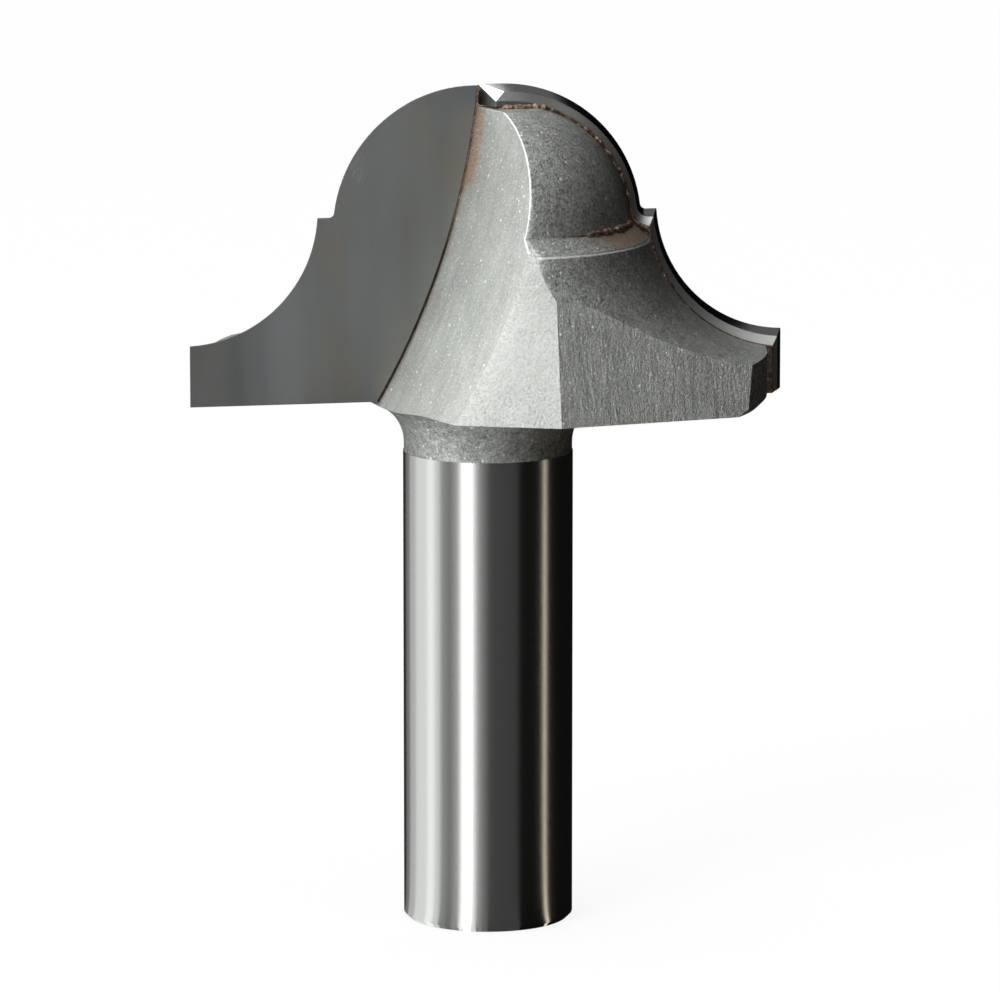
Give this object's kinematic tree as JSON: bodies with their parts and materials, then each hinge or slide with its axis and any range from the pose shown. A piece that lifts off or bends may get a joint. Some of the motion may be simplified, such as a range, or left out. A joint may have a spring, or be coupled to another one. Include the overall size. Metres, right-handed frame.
{
  "type": "router bit",
  "caption": "Plunging ogee router bit: round shank, turned head with two deep gullets and two relieved carbide tips, one with its nose past the axis.",
  "frame": {"origin": "centre of the shank's end face", "axes": "+Z along the axis of rotation from the shank to the nose; the cutting faces lie along X, and the short tip is at -X with its face towards -Y"},
  "size_m": [0.045, 0.0292, 0.063],
  "materials": {
    "steel": "shank ground bright, head and neck sandblasted to a fine mid-grey grain",
    "carbide": "tungsten carbide, faces and reliefs ground smooth and dark",
    "braze": "silver braze, oxidised to a dull brown"
  },
  "bodies": {
    "root": {"steel_body": "steel", "carbide_tip_short": "carbide", "carbide_tip_long": "carbide", "braze_seam_short": "braze", "braze_seam_long": "braze"}
  },
  "joints": []
}
